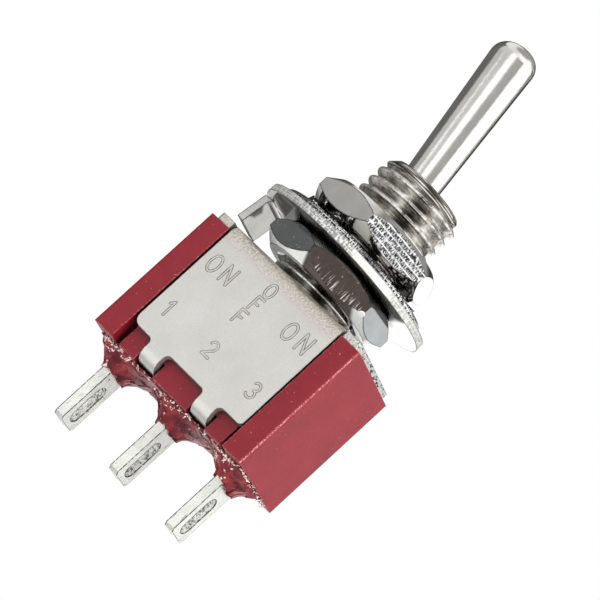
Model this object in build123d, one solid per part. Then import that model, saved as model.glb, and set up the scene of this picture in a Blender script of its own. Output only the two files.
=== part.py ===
from build123d import *
import math
import os

# Miniature toggle switch, one pole, ON-OFF-ON, with a keyed M6 bushing, a bat lever
# and three solder lugs.  Millimetres.  The origin is on the bushing's axis, in the
# top face of the steel frame.  +Z runs up the bushing towards the lever, +X runs
# along the row of lugs, and the lever is thrown towards -X.

# ---------------------------------------------------------------- driving dimensions
# moulded case
case_length = 13.2
case_width = 7.9
case_height = 9.3
strip_width = 1.6            # raised strip at each end of the broad sides
side_recess = 0.6            # how far the broad sides lie behind the strips
groove_width = 0.45          # relief groove beside each strip
groove_depth = 0.75
case_edge_round = 0.25
notch_width = 1.7            # bottom notch that a frame tab is bent into
notch_depth = 1.5
cavity_end_gap = 0.17       # outer lug to the cavity's end wall
cavity_width = 3.9
end_wall_round = 0.5         # inside corners of the cavity
well_end_gap = 0.47          # outer lug to the end of the shallow well for the seal
well_width = 3.0
well_depth = 0.5

# folded steel frame
sheet = 0.5
top_end_gap = 0.45           # plate's end inside the case's end
leg_strip_gap = 0.15         # leg to the case's end strip
bend_relief = 0.2            # notch beside each long bend
leg_bottom_gap = 1.55        # case bottom to the lower edge of a leg
leg_left_round = 0.6         # lower corners of a leg
leg_right_round = 0.3
bend_round = 0.55            # outside radius of the long bends
tab_width = 1.35
tab_spacing = 4.7
tab_root_round = 0.35
tab_curl_radius = 0.35       # inside radius of the tab's curl
tab_end_gap = 0.1            # tab's end to the back wall of its notch
tab_bottom_gap = 0.2         # case bottom to the underside of a tab
leg_case_gap = 0.04

# bushing
thread_diameter = 6.0
thread_pitch = 0.75
thread_depth = 0.36
thread_root_flat = 0.06
thread_start = 0.9           # plain shank above the frame
bushing_height = 9.8
mouth_chamfer = 0.5          # radial size of the cone at the thread's open end
mouth_chamfer_length = 0.55
flange_length = 7.0
flange_width = 6.05
flange_thickness = 0.9
flange_corner_round = 0.8
flange_clearance = 0.04
keyway_width = 0.95
keyway_depth = 0.42
frame_hole_clearance = 0.04

# lever
pivot_height = 6.5
throw_angle = 11.5           # each side of upright
ball_radius = 2.0
ball_clearance = 0.05
lever_reach = 13.85          # pivot to the crown of the tip
lever_neck_radius = 1.2
lever_tip_radius = 1.52
lever_tip_round = 1.1
stem_radius = 1.1
stem_length = 6.2            # pivot to the stem's open end
stem_bore_radius = 0.75
stem_bore_top = 1.3          # pivot to the blind end of the bore
swing_clearance = 0.08
pin_radius = 0.4
pin_length = 4.9
pin_fit = 0.01
slot_clearance = 0.04

# plunger and its spring
plunger_reach = 11.4         # pivot to the plunger's nose
plunger_nose_radius = 0.6
plunger_head_radius = 0.95
plunger_head_length = 1.3
plunger_shoulder_gap = 0.5   # stem end to the plunger's shoulder
plunger_shank_length = 1.9
plunger_fit = 0.04
spring_wire_radius = 0.12
spring_turns = 5
spring_wall_gap = 0.06

# rocking contact blade
blade_width = 2.9
blade_sheet = 0.5
blade_tilt = 10.0            # each side of level
blade_gap = 0.05             # nose to blade
dish_half = 2.2
arm_root = 3.15              # where an arm levels out beyond the dish
arm_root_height = 0.62
arm_length = 4.85
blade_bend_round = 0.45
blade_seat = 0.25            # fulcrum centre to the underside of the blade
fulcrum_clearance = 0.03
button_radius = 0.7
button_height = 0.3
button_reach = 4.15
contact_gap = 0.03

# terminals
lug_spacing = 5.08
lug_thickness = 0.7
lug_width = 2.05
lug_drop = 5.2              # lug tip below the case bottom
lug_tip_chamfer = 0.2
lug_slot_width = 0.95
lug_slot_length = 2.7
lug_slot_margin = 0.42       # lug tip to the slot
foot_thickness = 0.55
foot_bend_round = 0.3
foot_overhang = 0.75         # foot past the button's centre
fixed_button_height = 0.35
lug_slot_clearance = 0.06    # lug in the case floor

# epoxy seal
seal_edge_gap = 0.15         # end of the skin over the bottom to the case's end
seal_width = 5.6
seal_thickness = 0.12
seal_corner_round = 0.8
seal_mound_drop = 1.2        # case bottom to the end of a mound on its lug
seal_mound_rim = 0.38        # seal left round the lug at that end
seal_mound_spread = 2.2      # how far a mound runs out along the case bottom

# hardware on the thread
nut_flats = 8.4
nut_face_radius = 4.0
nut_chamfer_slope = 0.85
nut_thickness = 2.0
nut_bore_chamfer = 0.3
thread_clearance = 0.05
lower_nut_base = 0.85
lower_nut_turned = 0.0       # degrees, a corner faces -Y
upper_nut_turned = 13.0
stack_gap = 0.03             # between neighbours on the thread
ring_outer_radius = 6.4
ring_clearance = 0.1
ring_thickness = 0.5
ring_key_clearance = 0.1
ring_tab_width = 2.9
ring_tab_reach = 5.85        # axis to the inside face of the bent tab
ring_tab_drop = 2.6          # tab end below the ring's top face
ring_tab_splay = 7.0
ring_tab_bend = 0.35
washer_outer_radius = 5.6
washer_rim_width = 1.25
washer_thickness = 0.4
washer_teeth = 9
washer_tooth_width = 1.4
washer_tooth_thickness = 0.4
washer_tooth_twist = 30.0
washer_inner_radius = 3.2

# ---------------------------------------------------------------- derived places
case_top = -sheet
case_bottom = case_top - case_height
recess_face = case_width / 2 - side_recess
strip_inside = case_length / 2 - strip_width
top_length = case_length - 2 * top_end_gap
leg_width = 2 * (strip_inside - leg_strip_gap)
flange_bottom = case_top - flange_thickness
leg_outside = recess_face + leg_case_gap + sheet
notch_height = tab_bottom_gap + sheet + tab_curl_radius
thread_radius = thread_diameter / 2
throw = math.radians(throw_angle)
tilt = math.radians(blade_tilt)
lever_rest = Location((0, 0, pivot_height), (0, -throw_angle, 0))

# the blade turns about the centre of the fulcrum's round top
fulcrum_radius = lug_thickness / 2
fulcrum_height = pivot_height - plunger_reach - blade_gap - blade_sheet - blade_seat

# where the blade's button meets the fixed button at full tilt
button_height_on_arm = arm_root_height + (button_reach - arm_root) * math.tan(tilt)
button_face_x = button_reach + (blade_sheet / 2 + button_height) * math.sin(tilt)
button_face_z = button_height_on_arm - (blade_sheet / 2 + button_height) * math.cos(tilt)
contact_x = button_face_x * math.cos(tilt) + button_face_z * math.sin(tilt)
contact_z = (
    fulcrum_height - button_face_x * math.sin(tilt) + button_face_z * math.cos(tilt) - contact_gap
)
foot_top = contact_z - fixed_button_height
cavity_floor = foot_top - foot_thickness

lug_end = lug_spacing + lug_thickness / 2
cavity_length = 2 * (lug_end + cavity_end_gap)
well_length = 2 * (lug_end + well_end_gap)
seal_length = case_length - 2 * seal_edge_gap

ring_base = lower_nut_base + nut_thickness + stack_gap
ring_top = ring_base + ring_thickness
washer_base = ring_top + stack_gap
tooth_rise = (
    washer_tooth_width * math.sin(math.radians(washer_tooth_twist))
    + washer_tooth_thickness * math.cos(math.radians(washer_tooth_twist))
)
upper_nut_base = washer_base + tooth_rise + stack_gap


def end_reach(distance, radius):
    """How far from the bushing's axis the end of a round stem reaches at full throw."""
    return distance * math.sin(throw) + radius * math.cos(throw)


def side_reach(height, radius):
    """How far from the axis the side of the lever reaches at a height above the pivot."""
    return height * math.tan(throw) + radius / math.cos(throw)


def box_between(low, high):
    """A box from its lowest corner to its highest corner."""
    size = [b - a for a, b in zip(low, high)]
    centre = [(a + b) / 2 for a, b in zip(low, high)]
    return Pos(*centre) * Box(*size)


# ---------------------------------------------------------------- case
def make_case():
    """Moulded cup: end strips, recessed broad sides, tab notches and the contact cavity."""
    body = Pos(0, 0, case_top - case_height / 2) * Box(case_length, case_width, case_height)
    body = fillet(body.edges().filter_by(Axis.Z), case_edge_round)
    for side in (-1, 1):
        recess = box_between(
            (-strip_inside, recess_face, case_bottom), (strip_inside, case_width, case_top)
        )
        for end in (-1, 1):
            groove = box_between(
                (strip_inside - groove_width, recess_face - groove_depth, case_bottom),
                (strip_inside, case_width, case_top),
            )
            recess += groove if end > 0 else mirror(groove, about=Plane.YZ)
            notch = box_between(
                (tab_spacing / 2 - notch_width / 2, recess_face - notch_depth, case_bottom),
                (tab_spacing / 2 + notch_width / 2, case_width, case_bottom + notch_height),
            )
            recess += notch if end > 0 else mirror(notch, about=Plane.YZ)
        body -= recess if side > 0 else mirror(recess, about=Plane.XZ)

    cavity = extrude(
        Pos(0, 0, cavity_floor) * RectangleRounded(cavity_length, cavity_width, end_wall_round),
        case_top - cavity_floor,
    )
    pocket = extrude(
        Pos(0, 0, flange_bottom)
        * RectangleRounded(
            flange_length + 2 * flange_clearance,
            flange_width + 2 * flange_clearance,
            flange_corner_round,
        ),
        flange_thickness,
    )
    well = Pos(0, 0, case_bottom + well_depth / 2) * Box(well_length, well_width, well_depth)
    body -= cavity + pocket + well
    for x in (-lug_spacing, 0, lug_spacing):
        body -= Pos(x, 0, (cavity_floor + case_bottom) / 2) * Box(
            lug_thickness + 2 * lug_slot_clearance,
            lug_width + 2 * lug_slot_clearance,
            cavity_floor - case_bottom,
        )
    return body


# ---------------------------------------------------------------- frame
def make_frame():
    """One steel blank: top plate, two wide legs and four tabs curled under the case."""
    top = RectangleRounded(top_length, 2 * leg_outside, case_edge_round)
    top -= Circle(thread_radius + frame_hole_clearance)
    for side in (-1, 1):
        top -= Pos(0, side * leg_outside) * Rectangle(leg_width + 2 * bend_relief, 2 * bend_round)
    plate = extrude(Pos(0, 0, -sheet) * top, sheet)

    leg_bottom = case_bottom + leg_bottom_gap
    middle = bend_round - sheet / 2
    bend = RadiusArc(
        (-leg_outside + bend_round, -sheet / 2), (-leg_outside + sheet / 2, -bend_round), -middle
    )
    shoulder = extrude(Plane.YZ * trace(bend, sheet), leg_width / 2, both=True)

    blank = Rectangle(leg_width, -bend_round - leg_bottom, align=(Align.CENTER, Align.MIN))
    left, right = blank.vertices().sort_by(Axis.Y)[:2].sort_by(Axis.X)
    blank = fillet(left, leg_left_round)
    blank = fillet(blank.vertices().group_by(Axis.Y)[0].sort_by(Axis.X)[-1], leg_right_round)
    curl_centre = case_bottom + notch_height
    root = Rectangle(
        tab_width + 2 * tab_root_round, tab_root_round, align=(Align.CENTER, Align.MAX)
    )
    for end in (-1, 1):
        root -= Pos(end * (tab_width / 2 + tab_root_round), -tab_root_round) * Circle(
            tab_root_round
        )
    root += Rectangle(tab_width, leg_bottom - curl_centre, align=(Align.CENTER, Align.MAX))
    for end in (-1, 1):
        blank += Pos(end * tab_spacing / 2, 0) * root
    face = Plane((0, -leg_outside, leg_bottom), x_dir=(1, 0, 0), z_dir=(0, -1, 0)) * blank
    leg = extrude(face, -sheet)

    inside = leg_outside - sheet / 2
    turn = tab_curl_radius + sheet / 2
    tab_end = recess_face - notch_depth + tab_end_gap
    path = RadiusArc((-inside, curl_centre), (-inside + turn, curl_centre - turn), -turn)
    path += Line((-inside + turn, curl_centre - turn), (-tab_end, curl_centre - turn))
    curl = extrude(Plane.YZ * trace(path, sheet), tab_width / 2, both=True)
    half = shoulder + leg
    for end in (-1, 1):
        half += Pos(end * tab_spacing / 2, 0, 0) * curl
    return plate + half + mirror(half, about=Plane.XZ)


# ---------------------------------------------------------------- bushing
def make_bushing():
    """Turned bushing: ringed thread, ball seat, flared mouth, keyway, pin slots and flange."""
    seat_radius = ball_radius + ball_clearance
    mouth_radius = side_reach(bushing_height - pivot_height, lever_neck_radius) + 2.5 * swing_clearance
    throat_radius = side_reach(seat_radius * 0.7, lever_neck_radius) + swing_clearance
    throat_height = pivot_height + math.sqrt(seat_radius**2 - throat_radius**2)
    skirt_radius = end_reach(pivot_height - flange_bottom, plunger_head_radius) + swing_clearance

    thread_end = bushing_height - mouth_chamfer_length
    root_half = thread_root_flat / 2
    groove_half = root_half + thread_depth * math.tan(math.radians(30))
    outline = [(0, case_top), (thread_radius, case_top)]
    for turn in range(int((thread_end - thread_start) / thread_pitch)):
        root = thread_start + (turn + 0.5) * thread_pitch
        outline += [
            (thread_radius, root - groove_half),
            (thread_radius - thread_depth, root - root_half),
            (thread_radius - thread_depth, root + root_half),
            (thread_radius, root + groove_half),
        ]
    outline += [
        (thread_radius, thread_end),
        (thread_radius - mouth_chamfer, bushing_height),
        (0, bushing_height),
    ]
    shaft = revolve(Plane.XZ * make_face(Polyline(*outline, close=True)), Axis.Z)
    flange = extrude(
        Pos(0, 0, flange_bottom) * RectangleRounded(flange_length, flange_width, flange_corner_round),
        flange_thickness,
    )

    half_angle = math.radians(45)
    seat_mid = (
        seat_radius * math.cos(half_angle * 0.6),
        pivot_height + seat_radius * math.sin(half_angle * 0.6),
    )
    bore = (
        Line((0, flange_bottom), (skirt_radius, flange_bottom))
        + Line((skirt_radius, flange_bottom), (seat_radius, pivot_height))
        + ThreePointArc((seat_radius, pivot_height), seat_mid, (throat_radius, throat_height))
        + Line((throat_radius, throat_height), (mouth_radius, bushing_height))
        + Line((mouth_radius, bushing_height), (0, bushing_height))
        + Line((0, bushing_height), (0, flange_bottom))
    )
    body = shaft + flange - revolve(Plane.XZ * make_face(bore), Axis.Z)

    body -= box_between(
        (-thread_radius - keyway_depth, -keyway_width / 2, 0),
        (-thread_radius + keyway_depth, keyway_width / 2, bushing_height),
    )
    slot_half = pin_radius + slot_clearance
    slot_reach = pin_length / 2 + slot_clearance
    slot = box_between((-slot_half, -slot_reach, flange_bottom), (slot_half, slot_reach, pivot_height))
    slot += Pos(0, 0, pivot_height) * Rot(90, 0, 0) * Cylinder(slot_half, 2 * slot_reach)
    return body - slot


# ---------------------------------------------------------------- lever group
def make_lever():
    """Bat lever: rounded tip, taper, ball with a pin hole and a hollow stem below it."""
    neck_start = math.sqrt(ball_radius**2 - lever_neck_radius**2)
    crown = lever_reach - lever_tip_round
    bat = make_face(
        Polyline(
            (0, 0),
            (lever_neck_radius, 0),
            (lever_neck_radius, neck_start),
            (lever_tip_radius, crown),
            (lever_tip_radius * 0.985, lever_reach),
            (0, lever_reach),
            (0, 0),
        )
    )
    body = revolve(Plane.XZ * bat, Axis.Z)
    tip = body.edges().filter_by(GeomType.CIRCLE).sort_by(Axis.Z)[-1]
    body = fillet(tip, lever_tip_round)
    body += Sphere(ball_radius)
    body += Pos(0, 0, -stem_length / 2) * Cylinder(stem_radius, stem_length)
    bore_length = stem_length - stem_bore_top
    body -= Pos(0, 0, -stem_length + bore_length / 2) * Cylinder(stem_bore_radius, bore_length)
    body -= Rot(90, 0, 0) * Cylinder(pin_radius + pin_fit, 2 * ball_radius + 2)
    return lever_rest * body


def make_pivot_pin():
    """Pin across the ball, which keeps the lever in one plane."""
    pin = Rot(90, 0, 0) * Cylinder(pin_radius, pin_length)
    pin = chamfer(pin.edges().filter_by(GeomType.CIRCLE), pin_radius / 4)
    return lever_rest * pin


def make_plunger():
    """Nylon plunger: shank in the stem, shoulder, taper and a round nose."""
    shoulder = -stem_length - plunger_shoulder_gap
    shank_radius = stem_bore_radius - plunger_fit
    shank_top = -stem_length + plunger_shank_length
    nose_centre = -plunger_reach + plunger_nose_radius
    head_end = shoulder - plunger_head_length
    nose_foot = nose_centre
    profile = (
        Line((0, shank_top), (shank_radius, shank_top))
        + Line((shank_radius, shank_top), (shank_radius, shoulder))
        + Line((shank_radius, shoulder), (plunger_head_radius, shoulder))
        + Line((plunger_head_radius, shoulder), (plunger_head_radius, head_end))
        + Line((plunger_head_radius, head_end), (plunger_nose_radius, nose_foot))
        + RadiusArc((plunger_nose_radius, nose_foot), (0, -plunger_reach), plunger_nose_radius)
        + Line((0, -plunger_reach), (0, shank_top))
    )
    return lever_rest * revolve(Plane.XZ * make_face(profile), Axis.Z)


def make_plunger_spring():
    """Compression spring between the stem's blind end and the plunger."""
    low = -stem_length + plunger_shank_length + spring_wire_radius
    high = -stem_bore_top - spring_wire_radius
    mean_radius = stem_bore_radius - spring_wall_gap - spring_wire_radius
    path = Helix(pitch=(high - low) / spring_turns, height=high - low, radius=mean_radius)
    section = Plane(origin=path @ 0, z_dir=path % 0) * Circle(spring_wire_radius)
    return lever_rest * Pos(0, 0, low) * sweep(section, path=path)


# ---------------------------------------------------------------- rocking blade
def dish_circle():
    """Centre height and radius of the blade's dish, from where the nose stands."""
    def nose_centre(throw_now, tilt_now):
        reach = plunger_reach - plunger_nose_radius
        x = reach * math.sin(throw_now)
        z = pivot_height - reach * math.cos(throw_now) - fulcrum_height
        return (
            x * math.cos(tilt_now) - z * math.sin(tilt_now),
            x * math.sin(tilt_now) + z * math.cos(tilt_now),
        )

    middle = nose_centre(0, 0)
    thrown = nose_centre(throw, tilt)
    centre = (thrown[0] ** 2 + thrown[1] ** 2 - middle[1] ** 2) / (2 * (thrown[1] - middle[1]))
    return centre, centre - middle[1] + plunger_nose_radius + blade_gap


def blade_rest():
    """Where the blade stands at rest, tipped down on the +X side."""
    return Location((0, 0, fulcrum_height), (0, blade_tilt, 0))


def make_blade():
    """Contact blade: dished middle, two arms and a groove that sits on the fulcrum."""
    centre, radius = dish_circle()
    mid_radius = radius + blade_sheet / 2
    dish_top = centre - math.sqrt(mid_radius**2 - dish_half**2)
    arm_end_height = arm_root_height + (arm_length - arm_root) * math.tan(tilt)
    dish = ThreePointArc((-dish_half, dish_top), (0, centre - mid_radius), (dish_half, dish_top))
    section = trace(dish, blade_sheet)
    for end in (-1, 1):
        arm = FilletPolyline(
            (end * (dish_half - 0.25), dish_top - 0.18),
            (end * (dish_half + 0.12), dish_top + 0.1),
            (end * arm_root, arm_root_height),
            (end * arm_length, arm_end_height),
            radius=blade_bend_round * 0.62,
        )
        section += trace(arm, blade_sheet)
    blade = extrude(Plane.XZ * section, blade_width / 2, both=True)
    groove = Rot(90, 0, 0) * Cylinder(fulcrum_radius + fulcrum_clearance, blade_width + 1)
    return blade_rest() * (blade - groove)


def make_blade_button(end):
    """Silver button on the underside of one arm."""
    under = Location((end * button_reach, 0, button_height_on_arm), (0, -end * blade_tilt, 0))
    button = Pos(0, 0, -blade_sheet / 2 - button_height / 2) * Cylinder(button_radius, button_height)
    rim = button.edges().filter_by(GeomType.CIRCLE).sort_by(Axis.Z)[0]
    return blade_rest() * under * fillet(rim, button_height / 3)


def make_fixed_button(end):
    """Silver rivet head on one outer terminal's foot."""
    button = Pos(0, 0, -fixed_button_height / 2) * Cylinder(button_radius, fixed_button_height)
    rim = button.edges().filter_by(GeomType.CIRCLE).sort_by(Axis.Z)[-1]
    return Pos(end * contact_x, 0, contact_z) * fillet(rim, fixed_button_height / 3)


# ---------------------------------------------------------------- terminals
def lug_blank(x, top):
    """A straight lug from its chamfered tip up to the given height, with its wire slot."""
    tip = case_bottom - lug_drop
    blank = Rectangle(lug_width, top - tip, align=(Align.CENTER, Align.MIN))
    blank = chamfer(blank.vertices().sort_by(Axis.Y)[:2], lug_tip_chamfer)
    slot = Rot(0, 0, 90) * SlotOverall(lug_slot_length, lug_slot_width)
    blank -= Pos(0, lug_slot_margin + lug_slot_length / 2) * slot
    face = Plane((x, 0, tip), x_dir=(0, 1, 0), z_dir=(1, 0, 0)) * blank
    return extrude(face, lug_thickness / 2, both=True)


def make_outer_terminal(end):
    """Lug, folded inwards over the cavity floor into a foot that carries the fixed button."""
    lug = lug_blank(end * lug_spacing, foot_top)
    outside = end * (lug_spacing + lug_thickness / 2)
    inside = end * (contact_x - foot_overhang)
    low, high = sorted((outside, inside))
    foot = box_between((low, -lug_width / 2, cavity_floor), (high, lug_width / 2, foot_top))
    body = lug + foot
    corner = [
        e for e in body.edges().filter_by(Axis.Y)
        if abs(e.center().X - outside) < 0.01 and abs(e.center().Z - foot_top) < 0.01
    ]
    return fillet(corner, foot_bend_round)


def make_common_terminal():
    """Lug with a round top edge, the fulcrum that the blade rocks on."""
    lug = lug_blank(0, fulcrum_height)
    return lug + Pos(0, 0, fulcrum_height) * Rot(90, 0, 0) * Cylinder(fulcrum_radius, lug_width)


# ---------------------------------------------------------------- epoxy seal
def make_epoxy_seal():
    """Poured seal: it fills the well, skins the bottom and runs down each lug in a hollow mound."""
    outline = RectangleRounded(seal_length, seal_width, seal_corner_round)
    seal = extrude(Pos(0, 0, case_bottom) * outline, -seal_thickness)
    sections = []
    for drop in (0.02, 0.35, 0.7, 1.0):
        rim = seal_mound_rim + seal_mound_spread * (1 - drop) ** 2
        oval = Ellipse(lug_thickness / 2 + rim, lug_width / 2 + (rim + seal_mound_rim) / 2)
        sections.append(Pos(0, 0, -seal_mound_drop * drop) * oval)
    mound = loft(sections)
    for x in (-lug_spacing, 0, lug_spacing):
        seal += Pos(x, 0, case_bottom) * mound
    seal = seal & extrude(Pos(0, 0, case_bottom) * outline, -2 * seal_mound_drop)
    seal += Pos(0, 0, case_bottom + well_depth / 2) * Box(well_length, well_width, well_depth)
    for x in (-lug_spacing, 0, lug_spacing):
        seal -= Pos(x, 0, case_bottom) * Box(lug_thickness, lug_width, 4 * seal_mound_drop)
    return seal


# ---------------------------------------------------------------- hardware on the thread
def make_nut(base, turned):
    """Hexagon nut, chamfered outside and at both ends of a bore that clears the thread."""
    top = base + nut_thickness
    corner = nut_flats / math.sqrt(3)
    hexagon = RegularPolygon(corner, 6, rotation=30 + turned)
    nut = extrude(Pos(0, 0, base) * hexagon, nut_thickness)
    drop = (corner - nut_face_radius) * nut_chamfer_slope
    bore_radius = thread_radius + thread_clearance
    ring = Polyline(
        (bore_radius, base + nut_bore_chamfer),
        (bore_radius + nut_bore_chamfer, base),
        (nut_face_radius, base),
        (corner, base + drop),
        (corner, top - drop),
        (nut_face_radius, top),
        (bore_radius + nut_bore_chamfer, top),
        (bore_radius, top - nut_bore_chamfer),
        (bore_radius, base + nut_bore_chamfer),
    )
    return nut & revolve(Plane.XZ * make_face(ring), Axis.Z)


def make_locking_ring():
    """Flat ring with an inside key for the keyway and an outside tab bent down."""
    flat = Circle(ring_outer_radius) - Circle(thread_radius + ring_clearance)
    ring = extrude(Pos(0, 0, ring_base) * flat, ring_thickness)
    half_tab = ring_tab_width / 2
    cut = box_between(
        (-ring_outer_radius - 1, -half_tab, ring_base), (-ring_tab_reach + 0.6, half_tab, ring_top)
    )
    middle = ring_base + ring_thickness / 2
    end_height = ring_top - ring_tab_drop
    splay = math.tan(math.radians(ring_tab_splay))
    top_x = ring_tab_reach + ring_thickness / 2
    path = FilletPolyline(
        (-ring_tab_reach + 0.6, middle),
        (-top_x, middle),
        (-top_x - (middle - end_height) * splay, end_height),
        radius=ring_tab_bend + ring_thickness / 2,
    )
    tab = extrude(Plane.XZ * trace(path, ring_thickness), half_tab, both=True)
    key_inside = thread_radius - keyway_depth + ring_key_clearance
    key_half = keyway_width / 2 - ring_key_clearance
    key = box_between(
        (-thread_radius - ring_clearance - 0.3, -key_half, ring_base), (-key_inside, key_half, ring_top)
    )
    return ring - cut + tab + key


def make_lock_washer():
    """Internal-tooth lock washer: plain rim and a circle of twisted teeth."""
    rim_inside = washer_outer_radius - washer_rim_width
    rim = extrude(
        Pos(0, 0, washer_base) * (Circle(washer_outer_radius) - Circle(rim_inside)), washer_thickness
    )
    length = rim_inside - washer_inner_radius + 0.25
    middle = washer_base + tooth_rise / 2
    washer = rim
    for k in range(washer_teeth):
        tooth = Rot(washer_tooth_twist, 0, 0) * Box(
            length, washer_tooth_width, washer_tooth_thickness
        )
        tooth = Pos(washer_inner_radius + length / 2, 0, middle) * tooth
        washer += Rot(0, 0, (k + 0.5) * 360 / washer_teeth) * tooth
    return washer


# ---------------------------------------------------------------- write every sub-part
parts = {
    "case": make_case(),
    "frame": make_frame(),
    "bushing": make_bushing(),
    "epoxy_seal": make_epoxy_seal(),
    "terminal_left": make_outer_terminal(-1),
    "terminal_common": make_common_terminal(),
    "terminal_right": make_outer_terminal(1),
    "fixed_contact_left": make_fixed_button(-1),
    "fixed_contact_right": make_fixed_button(1),
    "blade": make_blade(),
    "blade_contact_left": make_blade_button(-1),
    "blade_contact_right": make_blade_button(1),
    "lever": make_lever(),
    "pivot_pin": make_pivot_pin(),
    "plunger": make_plunger(),
    "plunger_spring": make_plunger_spring(),
    "lower_nut": make_nut(lower_nut_base, lower_nut_turned),
    "locking_ring": make_locking_ring(),
    "lock_washer": make_lock_washer(),
    "upper_nut": make_nut(upper_nut_base, upper_nut_turned),
}

os.makedirs("parts", exist_ok=True)
for name, solid in parts.items():
    export_step(solid, f"parts/{name}.step")
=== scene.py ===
# %% [markdown]
# # Miniature toggle switch
#
# This notebook dresses the CAD frame of a one-pole ON-OFF-ON toggle switch. It gives every solid
# a finish, and it models the few things that the solids leave plain. Everything is in metres in
# the CAD frame: the origin is on the bushing's axis in the top face of the steel frame, +Z runs
# up the bushing, and +X runs along the row of lugs.

# %% Load the CAD frame
import math
import random

import bpy
import numpy as np
from mathutils import Matrix, Vector


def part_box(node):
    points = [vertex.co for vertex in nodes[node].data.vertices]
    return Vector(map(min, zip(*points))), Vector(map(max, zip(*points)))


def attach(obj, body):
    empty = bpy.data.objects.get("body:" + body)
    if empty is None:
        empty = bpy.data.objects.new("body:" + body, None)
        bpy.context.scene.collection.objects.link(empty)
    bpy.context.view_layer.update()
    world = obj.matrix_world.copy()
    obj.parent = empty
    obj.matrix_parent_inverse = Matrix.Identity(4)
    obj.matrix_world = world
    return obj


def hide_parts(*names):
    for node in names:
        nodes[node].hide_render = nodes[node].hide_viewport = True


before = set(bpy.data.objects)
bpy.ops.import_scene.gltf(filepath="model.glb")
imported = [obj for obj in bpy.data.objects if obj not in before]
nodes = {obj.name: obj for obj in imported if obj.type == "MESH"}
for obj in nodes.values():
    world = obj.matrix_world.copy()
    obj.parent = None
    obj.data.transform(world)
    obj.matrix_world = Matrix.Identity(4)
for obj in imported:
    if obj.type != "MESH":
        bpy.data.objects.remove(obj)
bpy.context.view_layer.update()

print("CAD nodes:", sorted(nodes))

# %% [markdown]
# ## Shared sizes
#
# Sizes that several pieces need. A size that only one piece needs is given beside that piece.

# %% Shared sizes
MM = 0.001                        # the scene is in metres and the sizes are in millimetres
LUGS = (-5.08, 0.0, 5.08)         # middles of the three lugs along X
LUG_HALF = (0.35, 1.025)          # half a lug across X and across Y
THREAD_R = 3.0                    # crest radius of the M6 thread


def corners(name):
    """Lowest and highest corner of a CAD node, in millimetres."""
    low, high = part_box(name)
    return np.array(low) / MM, np.array(high) / MM


frame_low, frame_high = corners("frame")
case_low, case_high = corners("case")
FLANGE_Z, TOP = (corner[2] for corner in corners("bushing"))    # its flange and its mouth
print("case", case_low.round(2), case_high.round(2), "bushing top", round(TOP, 2))

# %% [markdown]
# ## Colours and nodes
#
# A finish is a tree of shader nodes. The tree could be clicked together in the shader editor, but
# then nobody could read why each node is there. `colour` turns a hex text into the linear light
# that shaders want, `plug` fills a node's inputs, and `add` makes one node of any kind.

# %% Colours and nodes


def colour(value):
    """Linear RGBA from an sRGB hex text, or a grey from a plain number."""
    if not isinstance(value, str):
        return [value, value, value, 1.0]
    parts = [int(value[i : i + 2], 16) / 255 for i in (1, 3, 5)]
    return [c / 12.92 if c <= 0.04045 else ((c + 0.055) / 1.055) ** 2.4 for c in parts] + [1.0]


def plug(node, inputs):
    """Links sockets to a node's inputs, and writes plain values on them."""
    for key, value in inputs.items():
        socket = node.inputs[key]
        if isinstance(value, bpy.types.NodeSocket):
            node.id_data.links.new(value, socket)
        else:
            socket.default_value = colour(value) if socket.type == "RGBA" else value


def add(tree, kind, inputs=None, out=0, stops=(), **settings):
    """Adds one node with its settings, inputs and ramp stops, and gives one of its outputs."""
    node = tree.nodes.new("ShaderNode" + kind)
    for key, value in settings.items():
        setattr(node, key, value)
    plug(node, inputs or {})
    if stops:
        elements = node.color_ramp.elements
        while len(elements) < len(stops):
            elements.new(0.5)
        for element, (place, tone) in zip(elements, stops):
            element.position = place
            element.color = colour(tone)
    return node.outputs[out] if node.outputs else node


print("#ffffff is", colour("#ffffff"))

# %% [markdown]
# ## Layers of tone
#
# Real finishes are built up: plate over steel, dust over plate, a scratch through both. The
# colours could be painted on an image, but an image blurs close up and has to be unwrapped first.
# Here every layer is a mask and a tone, and `coat` lays one after another. `masked` joins masks.

# %% Layers of tone


def coat(tree, base, layers, blend="MIX"):
    """Lays tones over a base, one after another, each as far as its mask lets it."""
    for mask, tone in layers:
        inputs = {0: mask, 6: base, 7: tone}
        base = add(tree, "Mix", inputs, 2, data_type="RGBA", blend_type=blend)
    return base


def masked(tree, masks, operation="MULTIPLY"):
    """One mask from several: 1 where all of them are, or with MAXIMUM where any of them is."""
    whole = masks[0]
    for mask in masks[1:]:
        whole = add(tree, "Math", {0: whole, 1: mask}, operation=operation)
    return whole


def worked_out(tree, value, steps):
    """A value taken through sums, from pairs of an operation and a number."""
    for operation, number in steps:
        value = add(tree, "Math", {0: value, 1: number}, operation=operation)
    return value


print("layers ready")

# %% [markdown]
# ## Patterns in millimetres
#
# Grain, dust and scratches are irregular, and noise is the cheapest thing that looks so. Its scale
# is given as cells to the millimetre, so a 0.1 mm grain is 10 and can be checked with a ruler.
# `along` fades from 0 to 1 between two lengths, which places a mark on one part of a piece.

# %% Patterns in millimetres


def noise_at(tree, place, per_mm, detail=3.0, rough=0.55, stretch=(1, 1, 1), turn=(0, 0, 0)):
    """A noise with so many cells to the millimetre, turned and stretched on the axes."""
    turned = add(tree, "Mapping", {"Vector": place, "Scale": stretch, "Rotation": turn})
    inputs = {"Vector": turned, "Scale": per_mm / MM, "Detail": detail, "Roughness": rough}
    return add(tree, "TexNoise", inputs, "Fac")


def patches(tree, place, per_mm, stops, *pattern):
    """Tones in irregular patches: stops over a noise with so many cells to the millimetre."""
    noise = noise_at(tree, place, per_mm, *pattern)
    return add(tree, "ValToRGB", {0: noise}, stops=stops)


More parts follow.
